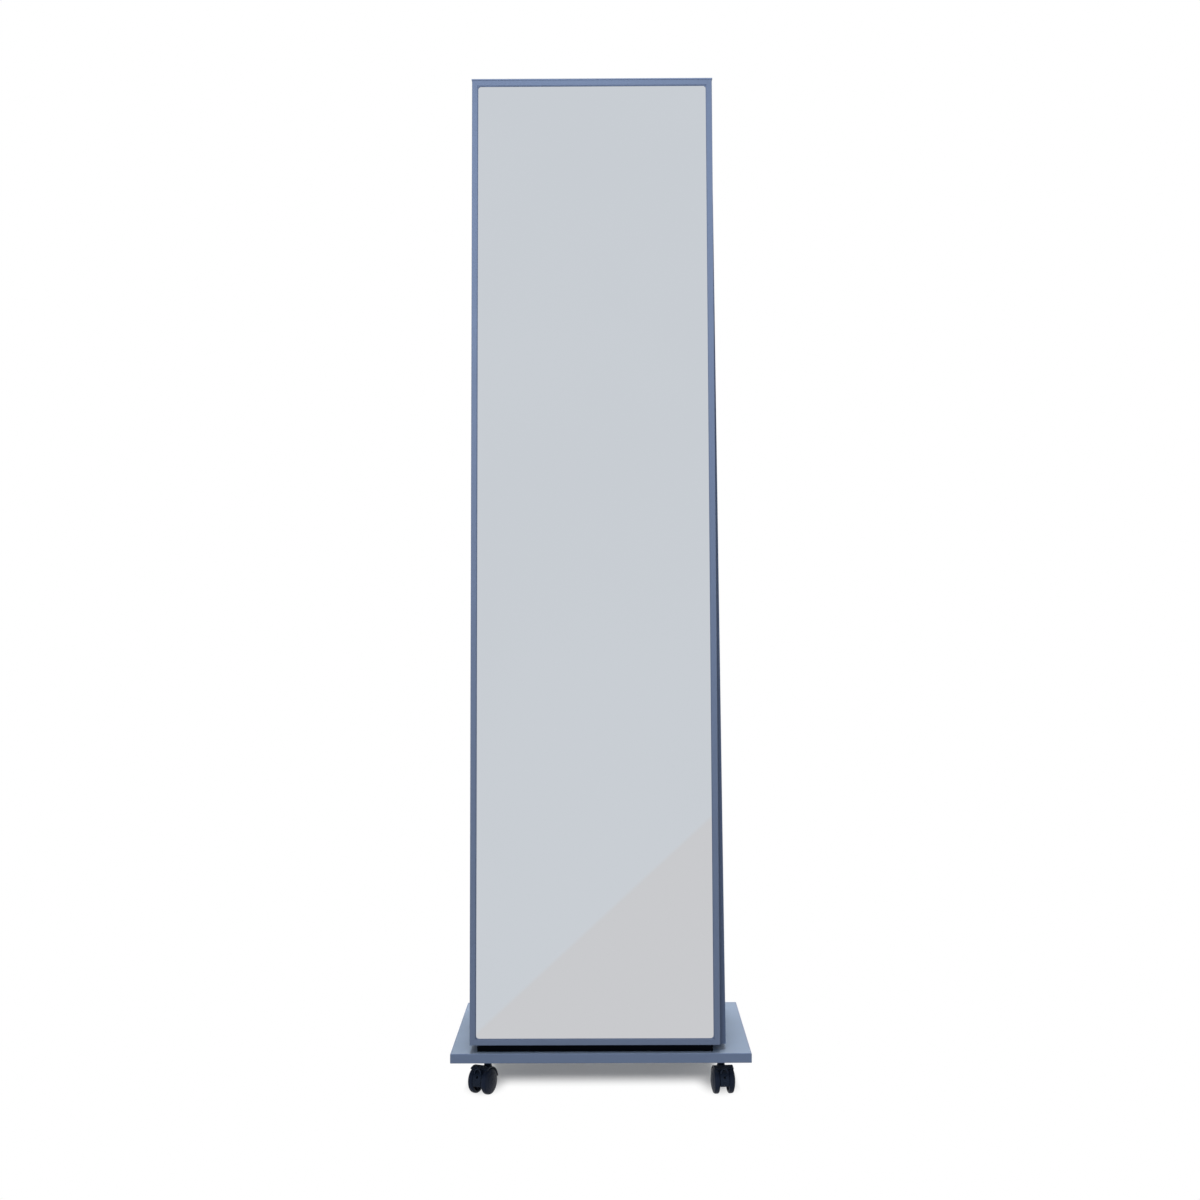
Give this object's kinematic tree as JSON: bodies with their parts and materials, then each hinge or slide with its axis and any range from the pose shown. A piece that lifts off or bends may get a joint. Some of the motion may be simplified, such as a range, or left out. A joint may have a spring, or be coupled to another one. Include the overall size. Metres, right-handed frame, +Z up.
{
  "type": "rolling floor mirror",
  "caption": "Tall double-sided floor mirror: a wedge body with a slim framed mirror front and back, on a flat base board with swivel casters.",
  "frame": {"origin": "on the floor, under the middle of the base board", "axes": "+Z up, the front mirror faces -Y, +X to the right seen from the front"},
  "size_m": [0.5, 0.4, 1.732],
  "materials": {
    "base_laminate": "particle board with satin melamine face, blue grey",
    "base_edging": "satin edge band, blue grey",
    "plinth_black": "fibreboard painted matt black",
    "timber": "raw birch plywood and beech",
    "side_paint": "fibreboard with fine satin paint, blue grey",
    "frame_metal": "satin powder coat, blue grey",
    "frame_screws": "painted screw heads, blue grey",
    "steel": "zinc-plated",
    "gasket_rubber": "matt black-blue rubber",
    "mirror_glass": "polished silvered glass",
    "backing_board": "raw hardboard",
    "caster_plastic": "moulded nylon, fine texture, blue black",
    "wheel_plastic": "moulded nylon, blue black"
  },
  "bodies": {
    "stand": {"base_board": "base_laminate", "base_edging": "base_edging", "plinth": "plinth_black", "bottom_board": "timber", "middle_board": "timber", "top_board": "timber", "left_side_panel": "side_paint", "right_side_panel": "side_paint", "top_cap": "frame_metal", "dowels": "timber", "body_screws": "steel", "side_screws": "frame_screws", "insert_nuts": "steel", "front_left_stile": "frame_metal", "front_right_stile": "frame_metal", "front_top_rail": "frame_metal", "front_bottom_rail": "frame_metal", "front_corner_keys": "steel", "front_gasket": "gasket_rubber", "front_mirror": "mirror_glass", "front_backing": "backing_board", "rear_left_stile": "frame_metal", "rear_right_stile": "frame_metal", "rear_top_rail": "frame_metal", "rear_bottom_rail": "frame_metal", "rear_corner_keys": "steel", "rear_gasket": "gasket_rubber", "rear_mirror": "mirror_glass", "rear_backing": "backing_board", "fl_stem": "steel", "fr_stem": "steel", "rl_stem": "steel", "rr_stem": "steel"},
    "front_left_caster": {"fl_housing": "caster_plastic", "fl_axle": "steel"},
    "front_left_left_wheel": {"fl_left_wheel": "wheel_plastic"},
    "front_left_right_wheel": {"fl_right_wheel": "wheel_plastic"},
    "front_right_caster": {"fr_housing": "caster_plastic", "fr_axle": "steel"},
    "front_right_left_wheel": {"fr_left_wheel": "wheel_plastic"},
    "front_right_right_wheel": {"fr_right_wheel": "wheel_plastic"},
    "rear_left_caster": {"rl_housing": "caster_plastic", "rl_axle": "steel"},
    "rear_left_left_wheel": {"rl_left_wheel": "wheel_plastic"},
    "rear_left_right_wheel": {"rl_right_wheel": "wheel_plastic"},
    "rear_right_caster": {"rr_housing": "caster_plastic", "rr_axle": "steel"},
    "rear_right_left_wheel": {"rr_left_wheel": "wheel_plastic"},
    "rear_right_right_wheel": {"rr_right_wheel": "wheel_plastic"}
  },
  "joints": [
    {"name": "front_left_swivel", "type": "hinge", "parent": "stand", "child": "front_left_caster", "pos_m": [-0.191, -0.143, 0.045], "axis": [0, 0, 1], "continuous": true},
    {"name": "front_left_left_wheel_spin", "type": "hinge", "parent": "front_left_caster", "child": "front_left_left_wheel", "pos_m": [-0.19889, -0.15918, 0.022], "axis": [0.8988, -0.4384, 0], "continuous": true},
    {"name": "front_left_right_wheel_spin", "type": "hinge", "parent": "front_left_caster", "child": "front_left_right_wheel", "pos_m": [-0.19889, -0.15918, 0.022], "axis": [0.8988, -0.4384, 0], "continuous": true},
    {"name": "front_right_swivel", "type": "hinge", "parent": "stand", "child": "front_right_caster", "pos_m": [0.202, -0.143, 0.045], "axis": [0, 0, 1], "continuous": true},
    {"name": "front_right_left_wheel_spin", "type": "hinge", "parent": "front_right_caster", "child": "front_right_left_wheel", "pos_m": [0.20419, -0.16087, 0.022], "axis": [0.9925, 0.1219, 0], "continuous": true},
    {"name": "front_right_right_wheel_spin", "type": "hinge", "parent": "front_right_caster", "child": "front_right_right_wheel", "pos_m": [0.20419, -0.16087, 0.022], "axis": [0.9925, 0.1219, 0], "continuous": true},
    {"name": "rear_left_swivel", "type": "hinge", "parent": "stand", "child": "rear_left_caster", "pos_m": [-0.191, 0.143, 0.045], "axis": [0, 0, 1], "continuous": true},
    {"name": "rear_left_left_wheel_spin", "type": "hinge", "parent": "rear_left_caster", "child": "rear_left_left_wheel", "pos_m": [-0.19656, 0.12588, 0.022], "axis": [0.9511, -0.309, 0], "continuous": true},
    {"name": "rear_left_right_wheel_spin", "type": "hinge", "parent": "rear_left_caster", "child": "rear_left_right_wheel", "pos_m": [-0.19656, 0.12588, 0.022], "axis": [0.9511, -0.309, 0], "continuous": true},
    {"name": "rear_right_swivel", "type": "hinge", "parent": "stand", "child": "rear_right_caster", "pos_m": [0.202, 0.143, 0.045], "axis": [0, 0, 1], "continuous": true},
    {"name": "rear_right_left_wheel_spin", "type": "hinge", "parent": "rear_right_caster", "child": "rear_right_left_wheel", "pos_m": [0.20636, 0.12554, 0.022], "axis": [0.9703, 0.2419, 0], "continuous": true},
    {"name": "rear_right_right_wheel_spin", "type": "hinge", "parent": "rear_right_caster", "child": "rear_right_right_wheel", "pos_m": [0.20636, 0.12554, 0.022], "axis": [0.9703, 0.2419, 0], "continuous": true}
  ]
}
